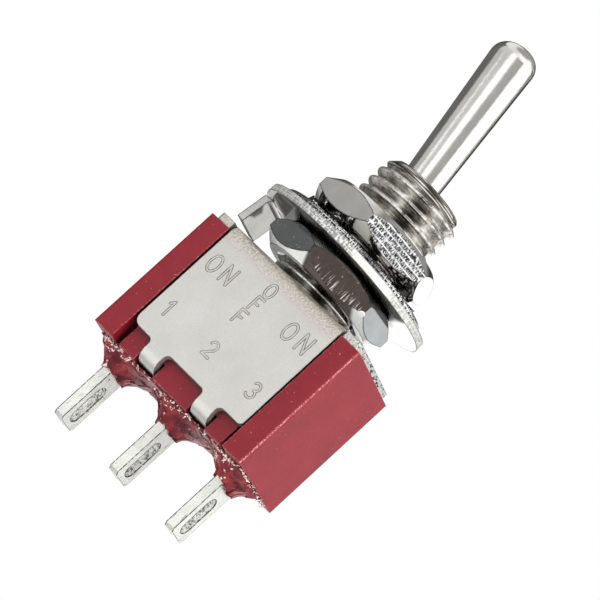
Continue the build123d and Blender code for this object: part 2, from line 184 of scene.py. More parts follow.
def along(tree, value, low_mm, high_mm, axis=None):
    """A fade from 0 to 1 between two lengths, of a value or of a place on an axis."""
    if axis:
        value = add(tree, "SeparateXYZ", {0: value}, axis)
    inputs = {"Value": value, "From Min": low_mm * MM, "From Max": high_mm * MM}
    return add(tree, "MapRange", inputs, "Result")


print("patterns ready")

# %% [markdown]
# ## Edges and corners
#
# No real edge is perfectly sharp, and corners lie in shade. A bevel modifier would round the
# edges in the mesh, but the meshes of the CAD solids stay as they are. So the shader leans the
# normal near an edge instead, which catches the light in the same way, and the lean itself serves
# as a mask for wear, painted highlights and painted dark lines. Corners are found by how little of
# its surroundings a point sees, and are darkened there as painted shade.

# %% Edges and corners


def rounded(shader, radius_mm, height=None, strength=0.2, distance_mm=0.01):
    """Rounds the edges to a radius, and lays a fine relief over the surface."""
    tree = shader.id_data
    normal = add(tree, "Bevel", {"Radius": radius_mm * MM}, samples=6)
    if height is not None:
        inputs = {"Strength": strength, "Distance": distance_mm * MM}
        normal = add(tree, "Bump", {**inputs, "Height": height, "Normal": normal})
    plug(shader, {"Normal": normal})


def edge_mask(tree, radius_mm, full=0.8, none=0.985):
    """1 on sharp edges and 0 on flats, from how far a bevelled normal leans away."""
    leaning = add(tree, "Bevel", {"Radius": radius_mm * MM}, samples=8)
    true = add(tree, "NewGeometry", out="Normal")
    lean = add(tree, "VectorMath", {0: leaning, 1: true}, "Value", operation="DOT_PRODUCT")
    return add(tree, "ValToRGB", {0: lean}, stops=[(full, 1.0), (none, 0.0)])


def crevice(tree, reach_mm, darkest=0.35, open_at=0.8):
    """1 in tight corners and 0 in the open, from how much of its surroundings a point sees."""
    open_sky = add(tree, "AmbientOcclusion", {"Distance": reach_mm * MM}, "AO", samples=6)
    return add(tree, "ValToRGB", {0: open_sky}, stops=[(darkest, 1.0), (open_at, 0.0)])


print("edges ready")

# %% [markdown]
# ## Starting a finish and giving it to a piece
#
# Each finish starts from one Principled shader, which covers metal, plastic and resin alike. It
# could be mixed from several simpler shaders, but an exported model keeps only this one. Patterns
# follow the object coordinates, so they stay on the piece when it moves.

# %% Starting a finish


def new_material(name):
    """An empty material, its tree, its shader and the object coordinates in metres."""
    material = bpy.data.materials.new(name)
    material.use_nodes = True
    tree = material.node_tree
    tree.nodes.clear()
    shader = add(tree, "BsdfPrincipled").node
    add(tree, "OutputMaterial", {"Surface": shader.outputs["BSDF"]})
    return material, tree, shader, add(tree, "TexCoord", out="Object")


def dress(material, *names):
    """Gives CAD pieces a finish in place of their plain one."""
    for name in names:
        nodes[name].data.materials.clear()
        nodes[name].data.materials.append(material)
    print(material.name, "on", ", ".join(names))


print("pieces to dress:", len(nodes))

# %% [markdown]
# ## Moulded red thermoset
#
# The case is a phenolic or melamine moulding, pressed in a polished steel mould. It could be one
# plain red, but a moulding is told by its wear: pale dust in the skin and edges rubbed to pink,
# partly as a painted highlight. Its corners are darkened as painted shade. To the eye it is a deep,
# even red with a soft gloss. Its index is near 1.6 in the books and is brought down to 1.42 here,
# because handling has dulled the skin.

# %% Moulded red thermoset


def moulded_thermoset():
    """Deep red with pale dust, rubbed edges partly painted as a highlight, and painted shade in corners.
    """
    material, tree, shader, place = new_material("moulded_red_thermoset")
    grain = noise_at(tree, place, 14, 2)
    base = patches(tree, place, 0.5, [(0.3, "#7a1420"), (0.7, "#871926")], 4)
    # dust of 0.15 mm, drawn coarser than the real filler specks so that it shows
    dust = patches(tree, place, 7, [(0.76, 0.0), (0.8, 0.45)], 1, 0.4)
    flakes = patches(tree, place, 8, [(0.5, 0.1), (0.6, 0.7)], 3, 0.6)
    edge_highlight = patches(tree, place, 11, [(0.46, 0.05), (0.56, 0.8)], 3, 0.7)
    # a painted highlight, in specks, along the long front edge at +X
    front_x = along(tree, place, case_high[0] - 0.15, case_high[0] - 0.09, "X")
    front_y = along(tree, place, case_low[1] + 0.15, case_low[1] + 0.09, "Y")
    base = coat(tree, base, [
        # painted shade in the corners and where the case meets other parts
        (masked(tree, [crevice(tree, 0.6), 0.75]), "#23080b"),
        (dust, "#d6a09a"),
        # rubbed edges, pale partly as a painted highlight
        (masked(tree, [edge_mask(tree, 0.12), flakes]), "#d9959a"),
        # the painted highlight along the front edge at +X
        (masked(tree, [edge_highlight, front_x, front_y]), "#dc959a"),
    ])
    rough = add(tree, "ValToRGB", {0: grain}, stops=[(0.3, 0.36), (0.7, 0.48)])
    plug(shader, {"Base Color": base, "Roughness": rough, "IOR": 1.42})
    rounded(shader, 0.09, grain, 0.15, 0.02)
    return material


dress(moulded_thermoset(), "case")

# %% [markdown]
# ## Tinned steel
#
# The frame is 0.3 mm steel strip, tinned, punched and folded. A mirror-like metal would be too
# bright, because hot tin has a fine grain that scatters light. So it is a pale grey with a broad,
# soft shine, which a high roughness gives. The fold at the top is peppered and warmer in tone, and
# the sheared end shows bare, dirty steel. Corners and edges are darkened as painted shade.

# %% Tinned steel


def tinned_steel():
    """Pale grey with a fine grain, painted shade in seams and on edges, a peppered fold and a dirty
    sheared end.
    """
    material, tree, shader, place = new_material("tinned_steel")
    grain = noise_at(tree, place, 9, 4, 0.6)
    base = patches(tree, place, 0.35, [(0.3, "#d2d0cb"), (0.7, "#dcdad6")], 3)
    fine = patches(tree, place, 22, [(0.35, 0.35), (0.6, 0.0)], 2, 0.6)
    peppered = patches(
        tree, place, 8, [(0.42, "#6f675c"), (0.5, "#c9c3b8"), (0.6, "#f4f2ee")], 3, 0.7
    )
    sheared = patches(tree, place, 5, [(0.42, "#3a3733"), (0.5, "#dcdad5")], 3, 0.7, (1, 0.5, 1))
    broken = patches(tree, place, 5, [(0.4, 0.35), (0.6, 1.0)], 3)
    front = along(tree, place, -3.0, -3.5, "Y")
    fold = masked(tree, [along(tree, place, -1.3, -0.4, "Z"), front, 0.55])
    left_of_end = along(tree, place, 5.8, 4.6, "X")
    warm = masked(tree, [along(tree, place, -1.5, -0.2, "Z"), left_of_end, front, 0.4])
    cut_end = along(tree, place, frame_high[0] - 0.08, frame_high[0] - 0.04, "X")
    base = coat(tree, base, [
        (fine, "#b9b7b1"),
        (fold, peppered),
        (warm, "#c9b8a4"),
        # painted shade in the corners
        (masked(tree, [crevice(tree, 0.25), 0.8]), "#2a2725"),
        (cut_end, sheared),
        # painted shade: broken dark lines along the edges
        (masked(tree, [edge_mask(tree, 0.11), broken]), "#262422"),
    ])
    rough = add(tree, "ValToRGB", {0: grain}, stops=[(0.3, 0.34), (0.75, 0.48)])
    plug(shader, {"Base Color": base, "Metallic": 0.8, "Roughness": rough})
    rounded(shader, 0.05, grain, 0.3, 0.012)
    return material


dress(tinned_steel(), "frame")

# %% [markdown]
# ## Nickel plate
#
# The lever, bushing, nuts, ring and washer are turned or stamped, then nickel-plated. Nickel is a
# full metal with a slightly warm white and a low roughness, so it mirrors what stands round it in
# hard bands. One function makes the plate, because the pieces differ only in tone, polish and the
# direction of their grain. Painted shade draws a thin dark line along every sharp edge of the nuts
# and ring, and darkens their corners.

# %% Nickel plate
PAINTED_SHADE = "#1d1c1a"                       # painted shade in corners and along sharp edges
UPRIGHT_GRAIN = (12, 3, 0.6, (1, 1, 0.12))    # 0.08 mm lines up and down a nut's flats
EVEN_GRAIN = (7, 3, 0.6)               # drawn at 0.14 mm, coarser than real plate, so that it shows


def edge_line(tree):
    """1 on a thin line along sharp edges."""
    return edge_mask(tree, 0.12, 0.975, 0.996)


def nickel_plate(name, light, dark, polish, grain, relief, with_painted_shade=True):
    """Bright plate from two tones, a roughness range, a noise pattern and its relief, with painted shade
    in corners and along sharp edges unless turned off.
    """
    material, tree, shader, place = new_material(name)
    base = patches(tree, place, 0.8, [(0.3, dark), (0.7, light)], 3)
    if with_painted_shade:
        broken = patches(tree, place, 4, [(0.3, 0.5), (0.55, 1.0)], 3)
        # painted shade: darker in the corners, and a thin dark line along sharp edges
        base = coat(tree, base, [
            (masked(tree, [crevice(tree, 0.5, 0.3, 0.7), 0.8]), PAINTED_SHADE),
            (masked(tree, [edge_line(tree), broken, 0.9]), PAINTED_SHADE),
        ])
    pattern = noise_at(tree, place, *grain)
    rough = add(tree, "ValToRGB", {0: pattern}, stops=[(0.3, polish[0]), (0.75, polish[1])])
    plug(shader, {"Base Color": base, "Metallic": 1.0, "Roughness": rough})
    rounded(shader, 0.04, pattern, relief, 0.01)
    return material, tree, shader, place, base


print("nickel plate ready")

# %% [markdown]
# ## Lever
#
# The bat lever is turned in one piece with its ball, polished and plated. Its bands are mirrored
# surroundings and could not be painted on, since they must slide as it tilts. Polishing along the
# lever leaves long streaks, so the noise is stretched, and turned by the throw to follow it.

# %% Lever
THROW = math.radians(11.5)             # the lever's tilt at rest, towards -X
DRAWN_GRAIN = (7, 5, 0.7, (1, 1, 0.3), (0, THROW, 0))
lever_nickel = nickel_plate(
    "lever_nickel", "#e9e7e3", "#dedbd6", (0.05, 0.14), DRAWN_GRAIN, 0.55, False
)[0]
dress(lever_nickel, "lever")

# %% [markdown]
# ## Marks that run round the bushing
#
# Turning and filing leave marks that run round the axis. A texture wrapped on each piece would
# need unwrapping. Instead the coordinates are unrolled: the angle becomes an arc, at a radius of
# 5 mm, beside the height and the radius. A coarse file on a hexagon or a rim leaves black ticks
# between pale lines, and both are drawn from those coordinates.

# %% Marks that run round the bushing
ARC_R = 5.0                            # the radius at which an unrolled millimetre is true
TICK = 0.07                            # width of a file tick


def unrolled(tree, place):
    """Coordinates round the axis as arc, height and radius, and the radius on its own."""
    x, y, z = (add(tree, "SeparateXYZ", {0: place}, axis) for axis in "XYZ")
    front = add(tree, "Math", {0: y, 1: -1.0}, operation="MULTIPLY")
    turn = add(tree, "Math", {0: x, 1: front}, operation="ARCTAN2")
    arc = add(tree, "Math", {0: turn, 1: ARC_R * MM}, operation="MULTIPLY")
    flat = add(tree, "VectorMath", {0: place, 1: (1, 1, 0)}, operation="MULTIPLY")
    radius = add(tree, "VectorMath", {0: flat}, "Value", operation="LENGTH")
    return add(tree, "CombineXYZ", {"X": arc, "Y": z, "Z": radius}), radius


def fine_lines(tree, place, step_mm, share):
    """1 on thin level lines a step apart, as wide as a share of the step."""
    height = add(tree, "SeparateXYZ", {0: place}, "Z")
    wave = add(tree, "Math", {0: height, 1: step_mm / 2 * MM}, operation="PINGPONG")
    return along(tree, wave, step_mm / 2 * share, step_mm / 4 * share)


def hatching(tree, place, row_mm, pale=0.8):
    """Black ticks between pale lines that run round the axis, as a coarse file leaves them."""
    round_place, _ = unrolled(tree, place)
    tones = [(0.43, 0.01), (0.51, 0.14), (0.6, pale)]
    cut = patches(tree, round_place, 1 / TICK, tones, 1, 0.5, (1, 0.3, 0.3))
    worn = patches(tree, round_place, 2, [(0.4, 0.3), (0.55, 0.9)], 2, 0.5, (1, 3, 1))
    lines = masked(tree, [fine_lines(tree, place, row_mm, 0.3), worn])
    return coat(tree, cut, [(lines, 0.9)])


print("unrolled coordinates are true at a radius of", ARC_R, "mm")

# %% [markdown]
# ## Where a piece faces
#
# A chamfer and a flat of a nut catch different light, and each is worn in its own way. They could
# be picked by hand as faces, but the CAD meshes may not be touched. So one mask finds a flat by
# how far out it lies in a direction, and another finds what leans downwards by its normal.

# %% Where a piece faces
NUT_HALF = 4.2                         # half the width across a nut's flats


def facing(tree, axis):
    """How far the surface faces along an axis, from -1 to 1."""
    return add(tree, "SeparateXYZ", {0: add(tree, "NewGeometry", out="Normal")}, axis)


def facing_down(tree, limit):
    """1 where the surface faces down by more than a limit."""
    return add(tree, "Math", {0: facing(tree, "Z"), 1: limit}, operation="LESS_THAN")


def nut_flat(tree, place, degrees, depth_mm):
    """1 on the flat of a nut that faces a direction, in degrees from +X."""
    angle = math.radians(degrees)
    outward = (math.cos(angle), math.sin(angle), 0.0)
    reach = add(tree, "VectorMath", {0: place, 1: outward}, "Value", operation="DOT_PRODUCT")
    return along(tree, reach, NUT_HALF - depth_mm, NUT_HALF - 0.02)


print("nut flats lie at", NUT_HALF, "mm")

# %% [markdown]
# ## Lower nut
#
# The lower nut is the best polished one. Its front flat is a brown mirror with pale hairlines on
# the lower half, its lower chamfers are pale or dark, and one corner has a bright spot. Mirrored
# surroundings alone could not place these tones so close together, so the chamfers and the spot
# are painted reflections, with a low metallic value, and only the flats mirror. That is a shortcut too.

# %% Lower nut
BROWN_FLAT = -60                       # the direction of the brown flat, in degrees from +X
nut_bottom = corners("lower_nut")[0][2]


def lower_nut_marks(tree, place, flat):
    """Pale hairlines on the lower half of a flat, and flecks all over."""
    round_place, _ = unrolled(tree, place)
    tall = (1, 0.08, 0.05)
    hairs = patches(tree, round_place, 11, [(0.55, 0.0), (0.61, 1.0)], 2, 0.5, tall)
    ends = patches(tree, round_place, 3, [(0.42, 0.0), (0.5, 1.0)], 2, 0.5, (1, 0.3, 0.1))
    low_half = along(tree, place, nut_bottom + 1.0, nut_bottom + 0.6, "Z")
    flecks = patches(tree, place, 7, [(0.7, 0.0), (0.74, 0.7)], 2, 0.5)
    return coat(tree, masked(tree, [hairs, low_half, ends, flat]), [(flecks, 1.0)])


def lower_nut_plate():
    """Nut plate with a brownish flat, and painted reflections on the chamfers and on one corner."""
    material, tree, shader, place, base = nickel_plate(
        "nut_nickel", "#d6dadb", "#c6cacb", (0.06, 0.12), UPRIGHT_GRAIN, 0.06
    )
    flat = nut_flat(tree, place, BROWN_FLAT, 0.05)
    base = coat(tree, base, [(flat, "#f1e4dd")], "MULTIPLY")
    marks = lower_nut_marks(tree, place, flat)
    chamfer = facing_down(tree, -0.1)
    # painted reflections on the lower chamfers, pale or dark along X, with painted shade along their
    # edges
    chamfer_reflection = coat(tree, "#f2f4f2", [
        (along(tree, place, -0.1, 0.1, "X"), "#584d46"),
        (along(tree, place, 3.5, 3.7, "X"), "#eef1ee"),
        (edge_line(tree), PAINTED_SHADE),
    ])
    # a painted glint: a bright spot on one corner
    glint_at = (4.15 * MM, -2.4 * MM, (nut_bottom + 0.5) * MM)
    from_glint = add(tree, "VectorMath", {0: place, 1: glint_at}, "Value", operation="DISTANCE")
    chip = along(tree, from_glint, 0.3, 0.27)
    base = coat(tree, base, [(marks, "#e9e5e1"), (chamfer, chamfer_reflection), (chip, 1.0)])
    shine = add(tree, "ValToRGB", {0: marks}, stops=[(0.0, 1.0), (1.0, 0.25)])
    painted = masked(tree, [chamfer, chip], "MAXIMUM")
    plug(shader, {"Base Color": base, "Metallic": coat(tree, shine, [(painted, 0.15)])})
    return material


dress(lower_nut_plate(), "lower_nut")

# %% [markdown]
# ## Upper nut
#
# The upper nut has one flat that was filed coarsely, with black ticks between pale rows, and it is
# smooth elsewhere. The file marks could be cut into the mesh, but they are 0.07 mm wide and the
# mesh would need a million faces. A filed face scatters light, so it is rough and hardly
# metallic. One lower chamfer is pale, a painted reflection as on the lower nut.

# %% Upper nut
FILED_FLAT = -46.8                     # the direction of the filed flat, in degrees from +X


def upper_nut_plate():
    """Nut plate with one coarsely filed flat and a painted reflection on one chamfer."""
    material, tree, shader, place, base = nickel_plate(
        "filed_nut_nickel", "#dcdad6", "#cfcdc8", (0.08, 0.2), UPRIGHT_GRAIN, 0.1
    )
    flat = nut_flat(tree, place, FILED_FLAT, 0.06)
    right_of = along(tree, place, 0.3, 0.5, "X")
    left_of = along(tree, place, 1.7, 1.5, "X")
    chamfer = masked(tree, [facing_down(tree, -0.1), right_of, left_of])
    # a painted reflection on the pale chamfer, with painted shade along its edges
    chamfer_reflection = coat(tree, "#f6f5e8", [(edge_line(tree), PAINTED_SHADE)])
    filed = hatching(tree, place, 0.36, 0.7)
    worked = masked(tree, [flat, chamfer], "MAXIMUM")
    plug(shader, {
        "Base Color": coat(tree, base, [(flat, filed), (chamfer, chamfer_reflection)]),
        "Roughness": coat(tree, 0.12, [(worked, 0.5)]),
        "Metallic": add(tree, "ValToRGB", {0: worked}, stops=[(0.0, 1.0), (1.0, 0.3)]),
    })
    return material


dress(upper_nut_plate(), "upper_nut")

# %% [markdown]
# ## Thread
#
# The thread is cut before plating. Its roots are painted brown and dark as shade, and its crests
# keep the bright plate. The radius tells crest from root, with a little noise to break the line.
# Each rib mirrors the room in the same bright and dark bands. The mirrored surroundings alone gave
# bands that were too faint and broken on ribs this small, so they are painted over X as well. That
# is a shortcut: they stay where they are in another light. The cone at the mouth carries turned
# rings instead.

# %% Thread
ROOT_TO_CREST_R = (2.65, 3.05)         # radii of full painted root shade and of plain plate
WOBBLE = 0.12                          # how far noise moves the edge of the painted root shade
RINGS_Z = (TOP - 0.62, TOP - 0.54)     # where the thread gives way to the cone's rings
BANDS = [                              # shade across the thread, from its -X side to its +X side
    (0.0, 0.9), (0.17, 1.0), (0.3, 0.8), (0.42, 0.75), (0.53, 0.9), (0.6, 1.0), (0.67, 0.85),
    (0.72, 0.62), (0.77, 0.62), (0.825, 0.9), (0.883, 1.0), (0.93, 0.95), (1.0, 0.9),
]
GLEAMS = [                             # how white the crests and flanks gleam in the same places
    (0.0, 0.45), (0.25, 0.5), (0.42, 0.35), (0.54, 0.35), (0.603, 0.9), (0.66, 0.15),
    (0.75, 0.05), (0.83, 0.2), (0.883, 0.95), (0.94, 0.4), (1.0, 0.35),
]
# tones from root to crest: the dark ones are painted shade in the roots
ROOT_TO_CREST = [
    (0.0, "#776d63"), (0.3, "#aca296"), (0.6, "#dcd6cc"), (0.8, "#aca59c"), (0.88, "#ffffff"),
]


def thread_plate():
    """Painted shade in the roots, bright crests, painted bands across, and turned rings on the cone."""
    material, tree, shader, place, base = nickel_plate(
        "thread_nickel", "#e6e4e0", "#d2cfca", (0.08, 0.2), EVEN_GRAIN, 0.25, False
    )
    round_place, radius = unrolled(tree, place)
    # painted shade in the roots, with its edge moved by noise
    wobble = {0: noise_at(tree, place, 3, 4, 0.7), 1: WOBBLE * MM, 2: radius}
    out_of_root = along(tree, add(tree, "Math", wobble, operation="MULTIPLY_ADD"), *ROOT_TO_CREST_R)
    tone = add(tree, "ValToRGB", {0: out_of_root}, stops=ROOT_TO_CREST)
    soot = patches(tree, place, 2.5, [(0.4, "#8b857d"), (0.52, "#ffffff")], 3, 0.7)
    across = along(tree, place, -THREAD_R, THREAD_R, "X")
    shade = add(tree, "ValToRGB", {0: across}, stops=BANDS)
    tone = coat(tree, tone, [(1.0, soot), (1.0, shade)], "MULTIPLY")
    uneven = patches(tree, place, 1.4, [(0.35, 0.4), (0.55, 1.0)], 2)
    gleam = masked(tree, [add(tree, "ValToRGB", {0: across}, stops=GLEAMS), uneven])
    ring_tones = [(0.4, "#5f5b55"), (0.5, "#c6c3bc"), (0.58, "#f4f3f0")]
    rings = patches(tree, round_place, 9, ring_tones, 2, 0.5, (0.03, 1, 1))
    rings = coat(tree, rings, [(fine_lines(tree, place, 0.14, 0.6), "#4a4640")])
    tone = coat(tree, tone, [
        (gleam, 1.0),
        (along(tree, place, *RINGS_Z, "Z"), rings),
    ])
    plug(shader, {
        "Base Color": coat(tree, base, [(1.0, tone)], "MULTIPLY"),
        "Metallic": add(tree, "ValToRGB", {0: gleam}, stops=[(0.0, 1.0), (1.0, 0.3)]),
    })
    return material


thread_nickel = thread_plate()
dress(thread_nickel, "bushing")

# %% [markdown]
# ## Lock washer
#
# The washer is hardened spring steel with a thin plate. It is painted nearly black as shade, with
# long bright streaks on its twisted teeth as painted glints, and a pale rim. Black paint could not
# glint, so it stays a metal with a very dark tone. The streaks are a noise that is stretched round
# the axis.

# %% Lock washer


def washer_plate():
    """Plate painted nearly black as shade, with painted glints in bright streaks and a pale filed rim."""
    # the nearly black tones are painted shade
    material, tree, shader, place, base = nickel_plate(
        "washer_nickel", "#3a3835", "#171614", (0.15, 0.35), EVEN_GRAIN, 0.5, False
    )
    round_place, radius = unrolled(tree, place)
    # painted glints: bright streaks round the axis on the teeth
    streaks = patches(tree, round_place, 7, [(0.58, 0.0), (0.61, 1.0)], 2, 0.5, (0.12, 1, 1))
    rim_r = corners("lock_washer")[1][1]
    rim = along(tree, radius, rim_r - 0.12, rim_r - 0.08)
    layers = [(streaks, "#f0efec"), (rim, hatching(tree, place, 0.16))]
    # painted shade along the edges
    layers.append((edge_mask(tree, 0.07), "#171614"))
    plug(shader, {"Base Color": coat(tree, base, layers)})
    return material


dress(washer_plate(), "lock_washer")

# %% [markdown]
# ## Locking ring
#
# The ring is stamped from strip and plated. The stamp leaves plain, bright faces and a rim with
# fine tears, which scatters light as the filed flat does. How pale the rim looks changes along X,
# because only part of it turns to the light, so its tears are veiled by different greys. A painted
# reflection, in patches, on the underside beside the tab keeps that face from being one blank
# mirror. Its edges are darkened with painted shade.

# %% Locking ring
RIM_R = (6.30, 6.36)                   # radii between which the faces give way to the rim
ring_top = corners("locking_ring")[1][2]


def torn_rim(tree, place):
    """Tears round the rim, veiled by a different grey along X."""
    torn = hatching(tree, place, 0.17)
    grey = coat(tree, torn, [(0.65, "#cfcec9")])
    soft = coat(tree, torn, [(0.35, "#e0dfda")])
    pale = coat(tree, soft, [(0.85, "#f6f5f1")])
    return coat(tree, grey, [
        (along(tree, place, -3.5, 0.5, "X"), soft),
        (along(tree, place, 2.2, 2.8, "X"), pale),
        (along(tree, place, 4.9, 5.3, "X"), grey),
        # painted shade along the rim's sharp edges
        (edge_mask(tree, 0.1), PAINTED_SHADE),
    ])


def ring_plate():
    """Plain bright faces, painted shade on edges, a torn rim and a painted reflection in patches below.
    """
    material, tree, shader, place, base = nickel_plate(
        "ring_nickel", "#dddbd6", "#cbc8c3", (0.07, 0.16), EVEN_GRAIN, 0.08
    )
    _, radius = unrolled(tree, place)
    above_tab = along(tree, place, ring_top - 0.56, ring_top - 0.5, "Z")
    rim = masked(tree, [along(tree, radius, *RIM_R), above_tab])
    # a painted reflection on the underside beside the tab, in patches
    below = masked(tree, [facing_down(tree, -0.9), along(tree, place, -2.0, -2.2, "X")])
    underside_reflection = patches(tree, place, 0.7, [(0.56, "#8f8e8a"), (0.58, "#f6f5f0")], 2)
    plug(shader, {
        "Base Color": coat(tree, base, [(below, underside_reflection), (rim, torn_rim(tree, place))]),
        "Roughness": coat(tree, 0.1, [(rim, 0.5)]),
        "Metallic": add(tree, "ValToRGB", {0: rim}, stops=[(0.0, 1.0), (1.0, 0.5)]),
    })
    return material


dress(ring_plate(), "locking_ring")

# %% [markdown]
# ## Outlines on the lugs
#
# Each lug has a long wire slot and two bent sides, and a thin dark line of painted shade runs round
# both. The line round the slot could be modelled as a groove, but it is painted shade and has no
# depth. So it comes from the distance to the slot's outline: straight sides, closed by two half
# circles.

# %% Outlines on the lugs
SLOT_HALF = 0.475                      # half the width of a lug's wire slot
SLOT_LOW = 0.42                        # from the lug's tip up to the slot
SLOT_LONG = 2.7
slot_middle = corners("terminal_common")[0][2] + SLOT_LOW + SLOT_LONG / 2


def off_middle(tree, place):
    """How far a place is along X from the middle of the nearest lug."""
    half = LUGS[2] / 2 * MM
    inputs = {0: add(tree, "SeparateXYZ", {0: place}, "X"), 1: half, 2: -half}
    return worked_out(tree, add(tree, "Math", inputs, operation="WRAP"), [("ABSOLUTE", 0.0)])


def slot_line(tree, place, across):
    """1 on the outline of a lug's slot, whose width runs along `across`."""
    beyond = worked_out(tree, add(tree, "SeparateXYZ", {0: place}, "Z"), [
        ("SUBTRACT", slot_middle * MM),
        ("ABSOLUTE", 0.0),
        ("SUBTRACT", (SLOT_LONG / 2 - SLOT_HALF) * MM),
        ("MAXIMUM", 0.0),
    ])
    corner = add(tree, "CombineXYZ", {"X": across, "Y": beyond})
    reach = add(tree, "VectorMath", {0: corner}, "Value", operation="LENGTH")
    gap = [("SUBTRACT", (SLOT_HALF + 0.02) * MM), ("ABSOLUTE", 0.0)]
    return along(tree, worked_out(tree, reach, gap), 0.06, 0.03)


print("slot middle at Z", round(slot_middle, 2))

# %% [markdown]
# ## Silver plate
#
# The lugs are brass with a thin silver plate, so that solder takes. Fresh silver would be a clean
# mirror, but handled silver is a greenish white that hardly mirrors, scratched along its length.
# So the metal is let down to 0.7 and roughened. Flecks of red resin cling to it, and the walls
# inside the slots are mottled grey where the punch tore them, darkened in part as painted shade.

# %% Silver plate


def silver_plate():
    """Greenish white, scratched along the lug, mottled and painted dark as shade in its slot, with red
    flecks and painted dark lines round slots and edges.
    """
    material, tree, shader, place = new_material("silver_plated_brass")
    grain = noise_at(tree, place, 10, 4, 0.65, (1, 1, 0.4))
    base = patches(tree, place, 1.2, [(0.3, "#dde0d7"), (0.7, "#f3f4ef")], 4)
    scratches = patches(tree, place, 7, [(0.6, 0.0), (0.66, 0.8)], 4, 0.7, (1, 1, 0.18))
    flecks = patches(tree, place, 2.6, [(0.71, 0.0), (0.73, 1.0)], 2, 0.5)
    mottle_tones = [(0.36, "#4a4a45"), (0.46, "#c4c5bd"), (0.55, "#f2f3ef")]
    mottle = patches(tree, place, 5, mottle_tones, 4, 0.7)
    broken = patches(tree, place, 4, [(0.35, 0.3), (0.5, 0.95)], 3)
    sideways = worked_out(tree, facing(tree, "X"), [("ABSOLUTE", 0.0)])
    wall = add(tree, "ValToRGB", {0: sideways}, stops=[(0.3, 1.0), (0.5, 0.0)])
    wide_face = add(tree, "ValToRGB", {0: sideways}, stops=[(0.5, 0.0), (0.7, 1.0)])
    across = worked_out(tree, add(tree, "SeparateXYZ", {0: place}, "Y"), [("ABSOLUTE", 0.0)])
    slot = masked(tree, [wall, along(tree, across, 0.56, 0.5)])
    near_side = along(tree, off_middle(tree, place), LUG_HALF[0] - 0.07, LUG_HALF[0] - 0.04)
    lines = masked(tree, [
        masked(tree, [slot_line(tree, place, across), wide_face]),
        masked(tree, [near_side, wall]),
        edge_mask(tree, 0.11),
    ], "MAXIMUM")
    base = coat(tree, base, [
        (scratches, "#6f6f6a"),
        (flecks, "#a1303f"),
        # the slot walls are mottled, and their dark tones are partly painted shade
        (slot, mottle),
        # painted shade: thin dark lines round the slot, the bent sides and the edges
        (masked(tree, [lines, broken]), "#242422"),
    ])
    plug(shader, {
        "Base Color": base,
        "Metallic": add(tree, "ValToRGB", {0: slot}, stops=[(0.0, 0.7), (1.0, 0.1)]),
        "Roughness": add(tree, "ValToRGB", {0: grain}, stops=[(0.3, 0.25), (0.75, 0.45)]),
    })
    rounded(shader, 0.05, grain, 0.5, 0.02)
    return material


dress(silver_plate(), "terminal_left", "terminal_common", "terminal_right", "blade")

# %% [markdown]
# ## Poured epoxy
#
# The case is closed with dyed epoxy, poured round the lugs and then broken at its surface. It
# could be a see-through resin with light inside it, but the dye is so dense that hardly any comes
# back. So it is opaque, clouded between dark reds, and paler where it is chipped. Its specular
# level is low, because broken resin hardly mirrors.

# %% Poured epoxy


def poured_epoxy():
    """Dark red resin with darker ridges and pale chips."""
    material, tree, shader, place = new_material("poured_epoxy")
    chips = noise_at(tree, place, 4, 5, 0.7)
    clouds = [(0.32, "#4e121b"), (0.5, "#742530"), (0.66, "#9a3c3c")]
    pale_chips = add(tree, "ValToRGB", {0: chips}, stops=[(0.66, 0.0), (0.7, 0.8)])
    base = coat(tree, patches(tree, place, 1.1, clouds, 5), [
        (masked(tree, [edge_mask(tree, 0.05, 0.9, 0.995), 0.7]), "#2b070a"),
        (pale_chips, "#e6bdb4"),
    ])
    plug(shader, {"Base Color": base, "Roughness": 0.3, "Specular IOR Level": 0.15})
    rounded(shader, 0.02, chips, 0.15, 0.02)
    return material


epoxy = poured_epoxy()
dress(epoxy, "epoxy_seal")

# %% [markdown]
# ## Crumbled resin
#
# Where the resin broke it left crumbs. A crack scatters light inside the crumb, and so most are
# pale pink or white although the resin is dark red. One noise with four tones gives each crumb
# its own colour, which saves a material for each, and a dark edge of painted shade parts it from
# its neighbours.

# %% Crumbled resin


def crumbled_resin():
    """Pale pink and white flakes with a few dark red ones."""
    material, tree, shader, place = new_material("resin_crumbs")
    tones = [(0.36, "#5c141c"), (0.42, "#d9a79c"), (0.5, "#fbf3ee"), (0.7, "#e0b4aa")]
    base = patches(tree, place, 4.5, tones, 2)
    # painted shade: a dark line along each crumb's edges
    base = coat(tree, base, [(edge_mask(tree, 0.03, 0.6, 0.9), "#3a1015")])
    plug(shader, {"Base Color": base, "Roughness": 0.35})
    rounded(shader, 0.02)
    return material


crumb_resin = crumbled_resin()
print(crumb_resin.name, "ready")

# %% [markdown]
# ## Finishes of the inner pieces
#
# The nylon plunger, the steel spring and pin, and the silver contact buttons are inside the
# switch, and no one sees them unless it is taken apart. They could be left plain, but the parts
# are reused one by one, so each gets its true tone: matt cream nylon, grey drawn wire, soft
# white silver. One function makes all three, with a faint grain of 0.25 mm.

# %% Finishes of the inner pieces


def inner_finish(name, dark, light, metallic, rough):
    """A plain finish from two tones with a faint grain."""
    material, tree, shader, place = new_material(name)
    grain = noise_at(tree, place, 4, 3)
    base = add(tree, "ValToRGB", {0: grain}, stops=[(0.3, dark), (0.7, light)])
    plug(shader, {"Base Color": base, "Metallic": metallic, "Roughness": rough})
    rounded(shader, 0.04, grain, 0.1, 0.01)
    return material


